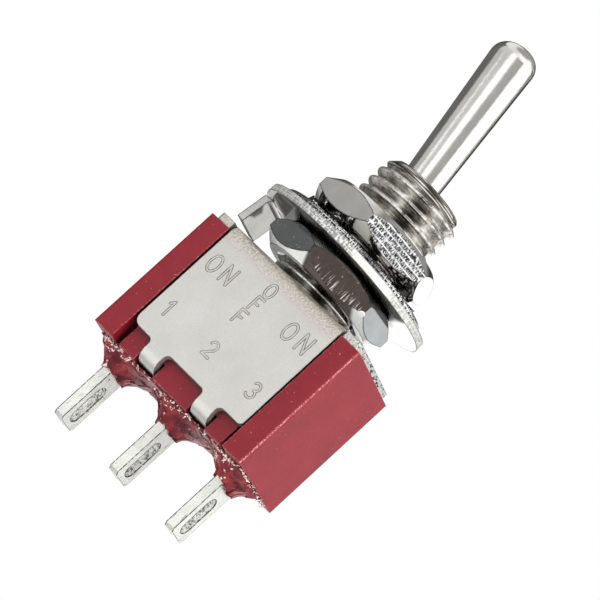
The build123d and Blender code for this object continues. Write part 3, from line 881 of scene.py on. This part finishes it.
BUTTONS = [kind + side for kind in ("fixed_contact_", "blade_contact_") for side in ("left", "right")]
dress(inner_finish("natural_nylon", "#d9d5c6", "#e6e2d6", 0.0, 0.45), "plunger")
dress(inner_finish("spring_wire", "#8d8d8d", "#a8a8a8", 1.0, 0.25), "pivot_pin", "plunger_spring")
dress(inner_finish("silver_button", "#dadad4", "#eeeeea", 1.0, 0.3), *BUTTONS)

# %% [markdown]
# ## Pieces from rows of points
#
# The pieces below are regular: rows round an axis, or rows over a plate. They could be sculpted
# or made with modifiers, but rows of points give exact sizes and the same mesh on every run.
# `make_piece` turns points in millimetres into an object that rides on a body of the switch.

# %% Pieces from rows of points


def make_piece(name, points_mm, faces, material, body, smooth=True):
    """A mesh from points in millimetres, riding on a CAD body."""
    mesh = bpy.data.meshes.new(name)
    mesh.from_pydata([tuple(c * MM for c in p) for p in points_mm], [], faces)
    mesh.polygons.foreach_set("use_smooth", [smooth] * len(mesh.polygons))
    mesh.materials.append(material)
    mesh.update()
    piece = bpy.data.objects.new(name, mesh)
    bpy.context.collection.objects.link(piece)
    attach(piece, body)
    print(name, "has", len(points_mm), "points and", len(faces), "faces")
    return piece


def grid_faces(rows, columns, closed=True):
    """Quads between rows of points, closed round the columns."""
    faces = []
    for r in range(rows - 1):
        for c in range(columns if closed else columns - 1):
            here, there = r * columns + c, r * columns + (c + 1) % columns
            faces.append((here, there, there + columns, here + columns))
    return faces


print("two rows of three points, closed:", grid_faces(2, 3))

# %% [markdown]
# ## Threaded bushing: the screw line
#
# The bushing carries an M6 x 0.75 thread with a keyway for the locking ring. The CAD solid has
# plain rings there, and a texture can't change the outline, so the helix is real geometry. A
# screw modifier would make it in one step, but it can't run out into the cone at the mouth. So
# rows of points follow the screw line, and each point's radius comes from its place in the pitch.

# %% The screw line
PITCH = 0.75
THREAD_DEPTH = 0.4
THREAD_END = -0.5                      # the lowest point of the outside, below the frame's face
PROFILE = [                            # share of the pitch, and share of the thread's depth
    (0.0, 0.0), (0.06, 0.0), (0.12, 0.08), (0.44, 0.96),
    (0.5, 1.0), (0.56, 0.96), (0.88, 0.08), (0.94, 0.0),
]


def thread_radius(phase):
    """Radius of the thread at a share of the pitch, crest at 0 and root at 0.5."""
    phase %= 1.0
    stops = PROFILE + [(1.0, 0.0)]
    for (a, da), (b, db) in zip(stops, stops[1:]):
        if a <= phase <= b:
            return THREAD_R - THREAD_DEPTH * (da + (db - da) * (phase - a) / (b - a))
    return THREAD_R


print("crest", thread_radius(0.0), "mm, root", thread_radius(0.5), "mm")

# %% [markdown]
# ## Threaded bushing: keyway and mouth
#
# The keyway is a flat-bottomed groove on the -X side. A boolean cut would leave ragged faces in
# a helix, so the rows have extra points on both sides of the groove instead, and points inside it
# are pulled in to its floor. The last rows close the lip, the bore and the flange.

# %% Keyway and mouth
KEY_WIDE, KEY_DEEP = 0.95, 0.42
KEY_FROM_Z = 0.02                      # the groove starts just above the frame's face
KEY_HALF = math.asin(KEY_WIDE / 2 / THREAD_R)  # half the keyway, as an angle
KEY_LIP = 0.002                        # angle between a wall and the points beside it
SIDES = 120                            # points round the bushing
CONE_TALL, CONE_DEEP = 0.55, 0.5       # the cone at the mouth
MOUTH_AND_BORE = (                     # radius and height, from the lip inside and back out
    (2.46, TOP), (2.2, TOP), (2.12, TOP - 0.06), (1.66, 7.9), (1.9, 7.3), (2.05, 6.5),
    (2.5, FLANGE_Z + 0.4), (2.6, FLANGE_Z), (3.02, FLANGE_Z), (3.02, THREAD_END),
)
angles = sorted(
    [i * 2 * math.pi / SIDES for i in range(SIDES)]
    + [math.pi + s * (KEY_HALF + e) for s in (-1, 1) for e in (-KEY_LIP, KEY_LIP)]
)


def shaft_point(angle, radius, z):
    """A point on the bushing's outside, kept out of the keyway."""
    off = abs(angle - math.pi)
    if off < KEY_HALF and z > KEY_FROM_Z:
        radius = min(radius, (THREAD_R - KEY_DEEP) / math.cos(off))
    return (radius * math.cos(angle), radius * math.sin(angle), z)


rows = []
for turn in range(math.floor(THREAD_END / PITCH) - 1, math.ceil(TOP / PITCH) + 1):
    for share, _ in PROFILE:
        row = []
        for angle in angles:
            z = (turn + share + angle / (2 * math.pi)) * PITCH
            z = min(max(z, THREAD_END), TOP)
            radius = thread_radius(z / PITCH - angle / (2 * math.pi))
            cone = THREAD_R - max(0.0, z - (TOP - CONE_TALL)) * CONE_DEEP / CONE_TALL
            row.append(shaft_point(angle, min(radius, cone), z))
        rows.append(row)
rows += [[shaft_point(a, radius, z) for a in angles] for radius, z in MOUTH_AND_BORE]
bushing_thread = make_piece(
    "bushing_thread",
    [p for row in rows for p in row],
    grid_faces(len(rows), len(angles)),
    thread_nickel,
    "switch_body",
)
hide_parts("bushing")

# %% [markdown]
# ## Poured seal
#
# The resin hangs below the case and climbs down each lug in a hollow mound, and its surface is
# broken into tilted facets. It could be sculpted, but a height field is easier to keep true to
# the lugs. One function says how deep the pour hangs, from the distance to the nearest lug, and
# another tilts the surface to the nearest of many random facets.

# %% Shape of the pour
SEAL_X, SEAL_Y, SEAL_ROUND = 6.45, 2.8, 0.8    # half its length and width, and its corners
FILM, MOUND = 0.12, 1.2                # how far it hangs between the lugs, and at them
COLLAR, SPREAD = 0.38, 2.2             # width of a mound's foot on a lug, and its reach
HALVINGS = 18                          # steps of the search for the distance to a lug
FACET_COUNT = 260
FACET_SLOPE, FACET_STEP = 1.3, 0.3
seal_z = case_low[2]
dice = random.Random(11)
facets = np.array([
    [dice.uniform(-span, span) for span in (6.6, 3.0, 1, 1, 1)] for _ in range(FACET_COUNT)
])


def mound_depth(x, y):
    """How far the seal hangs below the case bottom at a place, before it is broken up."""
    deepest = FILM
    for lug in LUGS:
        dx, dy = abs(x - lug), abs(y)
        low, high = 0.0, 4.0
        for _ in range(HALVINGS):
            rim = (low + high) / 2
            wide, long = LUG_HALF[0] + rim, LUG_HALF[1] + (rim + COLLAR) / 2
            inside = (dx / wide) ** 2 + (dy / long) ** 2 < 1
            low, high = (low, rim) if inside else (rim, high)
        drop = 1 - math.sqrt(max(0.0, high - COLLAR) / SPREAD)
        deepest = max(deepest, MOUND * drop)
    return deepest


def facet_rise(x, y):
    """A tilted facet's height at a place, between about -1 and 1."""
    gap = (facets[:, 0] - x) ** 2 + (facets[:, 1] - y) ** 2
    fx, fy, tilt_x, tilt_y, step = facets[int(np.argmin(gap))]
    return float(tilt_x * (x - fx) * FACET_SLOPE + tilt_y * (y - fy) * FACET_SLOPE + step * FACET_STEP)


print("the pour hangs", round(mound_depth(0.0, 0.0), 2), "mm at a lug")

# %% [markdown]
# ## Poured seal: the mesh
#
# A grid of 0.065 mm cells is fine enough for the facets to have crisp edges with flat shading,
# and coarse enough to stay light. Its outline is a rectangle with round corners, and its border
# stays in the case's lower face, so that the seal closes on the case without a gap.

# %% Mesh of the pour
COLUMNS, LINES = 200, 84
FACET_LEAST, FACET_SHARE = 0.06, 0.2   # how deep facets cut: at least, and more by the depth
HANG_LEAST = 0.03
points = []
for j in range(LINES + 1):
    y = SEAL_Y * (2 * j / LINES - 1)
    corner = max(0.0, abs(y) - (SEAL_Y - SEAL_ROUND))
    half = SEAL_X - SEAL_ROUND + math.sqrt(max(0.0, SEAL_ROUND**2 - corner**2))
    for i in range(COLUMNS + 1):
        x = half * (2 * i / COLUMNS - 1)
        hang = 0.0
        if i not in (0, COLUMNS) and j not in (0, LINES):
            depth = mound_depth(x, y)
            cut = FACET_LEAST + FACET_SHARE * depth
            hang = max(HANG_LEAST, depth + cut * facet_rise(x, y))
        points.append((x, y, seal_z - hang))
faces = grid_faces(LINES + 1, COLUMNS + 1, False)
pour = make_piece("poured_seal", points, faces, epoxy, "switch_body", False)
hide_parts("epoxy_seal")

# %% [markdown]
# ## Resin crumbs
#
# Chips and slivers of resin cling to the front of the mounds and along the edges of the case.
# They could be scattered with geometry nodes, but a loop with fixed dice gives the same crumbs on
# every run. Each is an irregular octahedron, the smallest closed shape that still reads as a
# broken chip.

# %% Resin crumbs
ON_MOUND, ON_FRONT, ON_END = 34, 70, 34        # how many chips cling in each place
FRONT_Y = -2.75                        # the front edge of the case's lower face
points, faces = [], []


def chip(centre, size):
    """Adds one irregular eight-sided chip."""
    start = len(points)
    turn = dice.uniform(0, math.pi)
    lean = dice.uniform(-1.2, 1.2)
    for axis in range(3):
        for sign in (-1, 1):
            reach = [0.0, 0.0, 0.0]
            reach[axis] = sign * size[axis] * dice.uniform(0.6, 1.2)
            x = reach[0] * math.cos(turn) - reach[1] * math.sin(turn)
            y = reach[0] * math.sin(turn) + reach[1] * math.cos(turn)
            z = reach[2] * math.cos(lean) + x * math.sin(lean)
            x = x * math.cos(lean) - reach[2] * math.sin(lean)
            points.append((centre[0] + x, centre[1] + y, centre[2] + z))
    for a in (0, 1):
        for b in (2, 3):
            for c in (4, 5):
                order = (a, b, c) if (a + b + c) % 2 else (a, c, b)
                faces.append(tuple(start + k for k in order))


for lug in LUGS:
    for _ in range(ON_MOUND):
        x = lug + dice.gauss(-0.35, 0.4)
        y = dice.uniform(-2.7, -1.3)
        z = seal_z - mound_depth(x, y) * dice.uniform(0.55, 1.0)
        chip((x, y, z), [dice.uniform(0.1, 0.4), dice.uniform(0.07, 0.2), dice.uniform(0.05, 0.16)])
for _ in range(ON_FRONT):
    x = dice.uniform(-6.4, 6.4)
    y = FRONT_Y + dice.gauss(0, 0.07)
    chip((x, y, seal_z - dice.uniform(0.0, 0.14)), (dice.uniform(0.1, 0.45), 0.08, 0.07))
for _ in range(ON_END):
    y = dice.uniform(-2.9, 2.6)
    sliver = (0.06, dice.uniform(0.12, 0.4), 0.07)
    chip((SEAL_X + dice.gauss(0, 0.04), y, seal_z - dice.uniform(0.0, 0.16)), sliver)
make_piece("resin_crumbs", points, faces, crumb_resin, "switch_body", False)

# %% [markdown]
# ## Stamped lettering: the strokes
#
# ON, OFF and ON stand for the three lever positions, and 1, 2 and 3 number the three lugs. They
# are punched into the frame letter by letter, with thin round strokes. A font would give filled
# outlines, so each letter is drawn here as the path that its punch follows, in a unit square.

# %% Strokes of the letters


def bow(x, y, wide, tall, start, end):
    """Points on part of an ellipse, from one angle in degrees to another."""
    turns = np.radians(np.linspace(start, end, 3 + abs(end - start) // 15))
    return [(x + wide * math.cos(t), y + tall * math.sin(t)) for t in turns]


STROKES = {
    "O": [bow(0.5, 0.5, 0.42, 0.5, 0, 360)],
    "N": [[(0.1, 0), (0.1, 1), (0.85, 0), (0.85, 1)]],
    "F": [[(0.15, 0), (0.15, 1), (0.85, 1)], [(0.15, 0.52), (0.7, 0.52)]],
    "1": [[(0.25, 0.75), (0.55, 1), (0.55, 0)]],
    "2": [bow(0.5, 0.7, 0.36, 0.3, 165, -30) + [(0.1, 0), (0.9, 0)]],
    "3": [bow(0.45, 0.75, 0.34, 0.25, 150, -80), bow(0.45, 0.26, 0.4, 0.26, 80, -150)],
}
print("letters:", "".join(STROKES))

# %% [markdown]
# ## Stamped lettering: relief
#
# A punch pushes the metal aside, so each stroke is a low floor between two small burrs. A bump
# would be lost in an exported mesh, so the strokes are real relief: a fine grid over each letter
# whose height follows the distance to the nearest stroke. The CAD plate isn't cut, so the floor
# lies a hair above it and not below. Cells far from every stroke are left out, so that the plate
# itself shows there.

# %% Relief of a letter
LETTER = (0.8, 1.15)                   # width and height of a full-size letter
CELL = 0.03                            # grid step of the relief
REACH = 0.12                           # how far a burr reaches from the middle of its stroke
BED = 0.003                            # the floor of a stroke, over the plate
BURR, BURR_AT, BURR_WIDE = 0.018, 0.075, 0.028     # the burr's height, place and width
FAR = 9.0                              # further than any stroke


def stroke_distance(grid, path):
    """Distance from each point to a path of straight pieces."""
    nearest = np.full(len(grid), FAR)
    for a, b in zip(path, path[1:]):
        a, b = np.array(a), np.array(b)
        share = ((grid - a) @ (b - a)) / max((b - a) @ (b - a), 1e-9)
        foot = a + np.clip(share, 0, 1)[:, None] * (b - a)
        nearest = np.minimum(nearest, np.hypot(*(grid - foot).T))
    return nearest


def stamped_letter(strokes, x, z, size):
    """Points, faces and distances of one letter as a grid that follows its strokes."""
    wide, tall = LETTER[0] * size, LETTER[1] * size
    xs = np.arange(x - wide / 2 - REACH, x + wide / 2 + REACH + CELL, CELL)
    zs = np.arange(z - tall / 2 - REACH, z + tall / 2 + REACH + CELL, CELL)
    grid = np.array([(u, w) for w in zs for u in xs])
    distance = np.full(len(grid), FAR)
    for stroke in strokes:
        path = [(x + (u - 0.5) * wide, z + (v - 0.5) * tall) for u, v in stroke]
        distance = np.minimum(distance, stroke_distance(grid, path))
    cells = grid_faces(len(zs), len(xs), False)
    cells = [quad for quad in cells if min(distance[i] for i in quad) < REACH]
    used = sorted({i for quad in cells for i in quad})
    number = {old: new for new, old in enumerate(used)}
    height = BED + BURR * np.exp(-(((distance[used] - BURR_AT) / BURR_WIDE) ** 2))
    surface = [(grid[i][0], frame_low[1] - h, grid[i][1]) for i, h in zip(used, height)]
    return surface, [tuple(number[i] for i in quad) for quad in cells], distance[used]


print("burrs stand", round(BED + BURR, 3), "mm over the plate")

# %% [markdown]
# ## Stamped lettering: finish and piece
#
# The relief is the same tinned steel as the plate, but its sides are painted dark as shade,
# while floor and burrs stay pale. A dark line could be found from the normals, but they are too
# shallow here. So each point keeps its distance to the stroke as an attribute, and the tones follow it.
# In some places the letters are worn almost away.

# %% Stamped lettering
# the dark stops on the sides of a stroke are painted shade
LETTER_SIDES = [                       # from the middle of a stroke to the rim of its burr
    (0.1, "#c6c4be"), (0.4, "#bfbdb7"), (0.52, "#35332f"), (0.68, "#5e5c57"), (0.86, "#d5d3ce"),
]
STAMPS = [                             # each letter's text, middle along X and Z, and size
    ("O", -3.94, -2.57, 1.0), ("N", -2.74, -2.51, 1.0),
    ("O", -0.14, -1.50, 0.82), ("F", -0.17, -2.62, 0.82), ("F", -0.29, -3.80, 0.82),
    ("O", 2.59, -2.40, 1.0), ("N", 3.84, -2.34, 1.0),
    ("1", -3.8, -6.3, 0.9), ("2", 0.0, -6.3, 0.9), ("3", 3.8, -6.3, 0.9),
]


def stamped_steel():
    """Tinned steel along a punched stroke: pale floor and burr, with sides painted dark as shade."""
    material, tree, shader, place = new_material("stamped_tinned_steel")
    distance = add(tree, "Attribute", out="Fac", attribute_name="stroke_distance")
    tone = add(tree, "ValToRGB", {0: distance}, stops=LETTER_SIDES)
    worn = patches(tree, place, 3, [(0.48, 0.0), (0.66, 0.45)], 3, 0.6)
    base = coat(tree, tone, [(worn, "#cfcdc8")])
    plug(shader, {"Base Color": base, "Metallic": 0.7, "Roughness": 0.42})
    return material


points, faces, distances = [], [], []
for text, x, z, size in STAMPS:
    more_points, more_faces, more_distances = stamped_letter(STROKES[text], x, z, size)
    faces += [tuple(len(points) + i for i in quad) for quad in more_faces]
    points += more_points
    distances += [min(1.0, d / REACH) for d in more_distances]
lettering = make_piece(
    "stamped_lettering", points, faces, stamped_steel(), "switch_body"
)
kept_distance = lettering.data.attributes.new("stroke_distance", "FLOAT", "POINT")
kept_distance.data.foreach_set("value", distances)

# %% [markdown]
# ## Camera
#
# The switch is seen from the front and a little below, rolled so that the lever points up to the
# right. The camera could be aimed with a constraint, but a constraint knows no roll. So its three
# axes are given as vectors. A long lens from far away keeps the parallel edges nearly parallel.

# %% Camera
CAMERA_AWAY = 0.22219                  # metres from the aim
aim = Vector((0.056, -0.992, -0.214)) * MM
back = Vector((0.44473, -0.88513, -0.13692)).normalized()
right = Vector((0.6482, 0.2126, 0.7312)).normalized()
up = back.cross(right).normalized()
camera_data = bpy.data.cameras.new("camera")
camera_data.lens = 228.9
camera_data.sensor_width = 36
camera_data.clip_start = 0.01
camera_data.clip_end = 10
camera = bpy.data.objects.new("camera", camera_data)
bpy.context.collection.objects.link(camera)
bpy.context.scene.camera = camera
camera.matrix_world = Matrix((right, up, back)).transposed().to_4x4()
camera.location = aim + back * CAMERA_AWAY
print("camera at", [round(c, 4) for c in camera.location])

# %% [markdown]
# ## Floor
#
# The stage is a sheet of pale paper well below the switch. It could be left out, because the
# surroundings are white too, but it gives a plain ground in the views from above. Paper is matt,
# so its roughness is high, and it is kept out of reflections, because the nickel has surroundings
# of its own to mirror.

# %% Floor
FLOOR_HALF, FLOOR_Z = 2, -0.06         # metres
around = [(-1, -1), (1, -1), (1, 1), (-1, 1)]
floor_mesh = bpy.data.meshes.new("floor")
floor_mesh.from_pydata([(FLOOR_HALF * x, FLOOR_HALF * y, FLOOR_Z) for x, y in around], [], [(0, 1, 2, 3)])
floor = bpy.data.objects.new("floor", floor_mesh)
bpy.context.collection.objects.link(floor)
paper, paper_tree, paper_shader, paper_place = new_material("pale_paper")
fibre = patches(paper_tree, paper_place, 0.4, [(0.3, "#f6f6f5"), (0.7, "#fbfbfa")], 4)
plug(paper_shader, {"Base Color": fibre, "Roughness": 0.9})
floor_mesh.materials.append(paper)
floor.visible_glossy = False
print("floor at Z", FLOOR_Z, "m")

# %% [markdown]
# ## Studio surroundings
#
# Polished nickel looks like whatever stands round it, so a bare white world would make it look
# like plaster. In a studio, dark and white cards stand round it. They could be modelled as
# planes, but each would need a place, a light and a shadow of its own. So the world itself
# carries them, as brightness by compass bearing, in layers from straight down to straight up.
# Upright faces of the nuts mirror one layer, the leaning lever another, the undersides the lowest.

# %% Cards round the switch
BELOW = [
    (-180, 0.16), (-161, 0.16), (-159, 0.6), (-133, 0.62), (-128, 1.25), (-78, 1.5), (-73, 0.5),
    (-66, 0.14), (-35, 0.12), (-28, 1.4), (48, 1.4), (52, 0.14), (76, 0.14), (80, 1.4),
    (115.9, 1.4), (117.2, 0.16), (180, 0.16),
]
GRAZING = [
    (-180, 0.16), (-161, 0.16), (-159, 0.62), (-133, 0.62), (-128, 1.25), (-100, 1.3), (-78, 1.5),
    (-73, 0.5), (-66, 0.14), (-35, 0.12), (-28, 1.4), (48, 1.4), (54, 0.85), (73, 0.85), (79, 1.4),
    (115.9, 1.4), (117.2, 0.16), (180, 0.16),
]
UPRIGHT = [                            # the brown card is what the lower nut's front flat mirrors
    (-180, 0.16), (-161, 0.17), (-159, 0.6), (-156, 0.6), (-154, 0.48), (-148, 0.48), (-146, 0.62),
    (-98, 0.62), (-95, 1.5), (-78, 1.5), (-73, 0.5), (-66, "#6c605b"), (-48, "#6c605b"), (-28, 0.9),
    (-24, 1.5), (48, 1.5), (54, 0.75), (73, 0.75), (79, 1.5), (115.9, 1.5), (117.2, 0.16),
    (180, 0.16),
]
LEANING = [
    (-180, 0.16), (-161, 0.16), (-159, 0.72), (-98, 0.76), (-95, 1.5), (-70, 1.4), (-64, 0.52),
    (-24, 0.46), (-20, 1.5), (46, 1.5), (52, 0.35), (58, 0.1), (64, 0.12), (70, 0.8), (78, 0.7),
    (84, 0.05), (150, 0.1), (180, 0.16),
]
OVERHEAD = [
    (-180, 1.0), (-100, 0.9), (-60, 1.3), (30, 1.3), (60, 0.4), (125, 0.35), (138, 1.0), (180, 1.0),
]
UNDERNEATH = [
    (-180, 0.3), (-160, 0.2), (-150, 0.9), (-140, 1.4), (0, 1.4), (10, 0.35), (24, 0.6), (40, 0.9),
    (52, 0.25), (66, 0.18), (80, 0.7), (96, 1.3), (125, 1.3), (140, 0.6), (158, 0.8), (170, 0.3),
    (180, 0.3),
]
ZENITH, NADIR = 0.42, 0.7              # plain tones straight above and straight below
LAYERS = [                             # the heights on the unit sphere over which each takes over
    (-0.02, 0.02, GRAZING), (0.13, 0.138, UPRIGHT), (0.18, 0.19, LEANING), (0.55, 0.62, OVERHEAD),
    (0.86, 0.94, ZENITH), (-0.2, -0.3, UNDERNEATH), (-0.9, -0.97, NADIR),
]
print("layers of cards:", len(LAYERS) + 1)

# %% [markdown]
# ## The world
#
# The cards become ramps over the bearing, and each layer fades into the next by height. It could
# be one painted image, but ramps stay crisp and can be changed one card at a time. The camera
# itself sees plain white behind the switch, and only mirrors and soft light get the cards.

# %% The world
world = bpy.data.worlds.new("studio")
bpy.context.scene.world = world
world.use_nodes = True
sky = world.node_tree
sky.nodes.clear()
direction = add(sky, "TexCoord", out="Generated")
east, north, height = (add(sky, "SeparateXYZ", {0: direction}, axis) for axis in "XYZ")
bearing = add(sky, "Math", {0: north, 1: east}, operation="ARCTAN2")
whole_turn = {0: bearing, 1: 1 / (2 * math.pi), 2: 0.5}
turn_share = add(sky, "Math", whole_turn, operation="MULTIPLY_ADD")


def cards(stops):
    """Brightness round the horizon from pairs of a bearing in degrees and a tone."""
    shares = [((degrees + 180) / 360, tone) for degrees, tone in stops]
    return add(sky, "ValToRGB", {0: turn_share}, stops=shares)


seen = cards(BELOW)
for low, high, layer in LAYERS:
    risen = add(sky, "MapRange", {"Value": height, "From Min": low, "From Max": high}, "Result")
    seen = coat(sky, seen, [(risen, cards(layer) if isinstance(layer, list) else layer)])
shown = coat(sky, seen, [(add(sky, "LightPath", out="Is Camera Ray"), 1.0)])
light = add(sky, "Background", {"Color": shown, "Strength": 1.0})
add(sky, "OutputWorld", {"Surface": light})
print("world nodes:", len(sky.nodes))

# %% [markdown]
# ## Lamps
#
# The world alone lights evenly and leaves no side brighter. Two square soft lamps, as a studio
# has them, lift the front and the +X side a little. They could be brighter, but the pale steel
# would then clip to white. They stay out of reflections, so that only the cards are mirrored.

# %% Lamps


def softbox(name, place, size, watts):
    """A square lamp that faces the switch."""
    lamp = bpy.data.lights.new(name, "AREA")
    lamp.size = size
    lamp.energy = watts
    holder = bpy.data.objects.new(name, lamp)
    bpy.context.collection.objects.link(holder)
    holder.location = place
    holder.rotation_mode = "QUATERNION"
    holder.rotation_quaternion = (-Vector(place)).to_track_quat("-Z", "Y")
    holder.visible_glossy = False
    print(name, "gives", watts, "W")


softbox("key_light", (-0.25, -0.25, 0.3), 0.2, 0.5)
softbox("fill_light", (0.35, -0.1, 0.2), 0.2, 1.2)
bpy.context.scene.view_settings.view_transform = "Standard"
